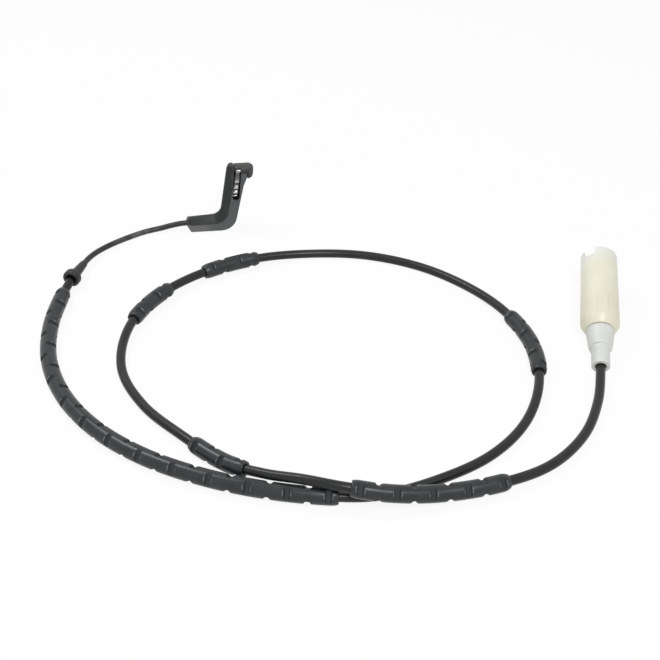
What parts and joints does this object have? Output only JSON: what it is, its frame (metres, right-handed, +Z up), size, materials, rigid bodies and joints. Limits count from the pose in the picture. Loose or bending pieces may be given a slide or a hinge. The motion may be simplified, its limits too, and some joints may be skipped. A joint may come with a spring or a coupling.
{
  "type": "brake pad wear sensor",
  "caption": "Forked elbow sensing head on a thin lead, joined by a collar to a looped cable with slotted rubber sleeves, ending in a booted round two-way plug.",
  "frame": {"origin": "bottom centre of the sensor head's box, on the surface that the part lies on", "axes": "+Z up along the head's height, +Y across the head's thickness, +X along the head's lower leg away from the lead"},
  "size_m": [0.2894, 0.2279, 0.0396],
  "materials": {
    "head_plastic": "dark grey moulded plastic, softly worn edges",
    "tip_plastic": "dark heat-resistant moulded plastic",
    "spring_steel": "bright spring strip",
    "copper": "bare copper wire",
    "core_insulation": "black wire insulation",
    "lead_jacket": "dark grey rubber, satin",
    "cable_jacket": "black jacket, slight gloss",
    "sleeve_rubber": "black-grey rubber, matt",
    "boot_rubber": "white translucent rubber",
    "ivory_plastic": "ivory moulded plastic, satin",
    "carrier_plastic": "ivory moulded plastic",
    "seal_silicone": "silicone ring seal",
    "tinned_brass": "tinned contact"
  },
  "bodies": {
    "root": {"sensor_housing": "head_plastic", "sensing_tip": "tip_plastic", "retaining_spring": "spring_steel", "wear_loop": "copper", "head_core_1": "core_insulation", "head_core_2": "core_insulation", "sensor_lead": "lead_jacket", "lead_collar": "lead_jacket", "main_cable": "cable_jacket", "long_sleeve": "sleeve_rubber", "right_sleeve": "sleeve_rubber", "top_sleeve": "sleeve_rubber", "top_left_sleeve": "sleeve_rubber", "bottom_left_sleeve": "sleeve_rubber", "front_sleeve": "sleeve_rubber", "connector_boot": "boot_rubber", "connector_housing": "ivory_plastic", "terminal_carrier": "carrier_plastic", "mouth_seal": "seal_silicone", "terminal_1": "tinned_brass", "terminal_2": "tinned_brass", "plug_core_1": "core_insulation", "plug_core_2": "core_insulation"}
  },
  "joints": []
}
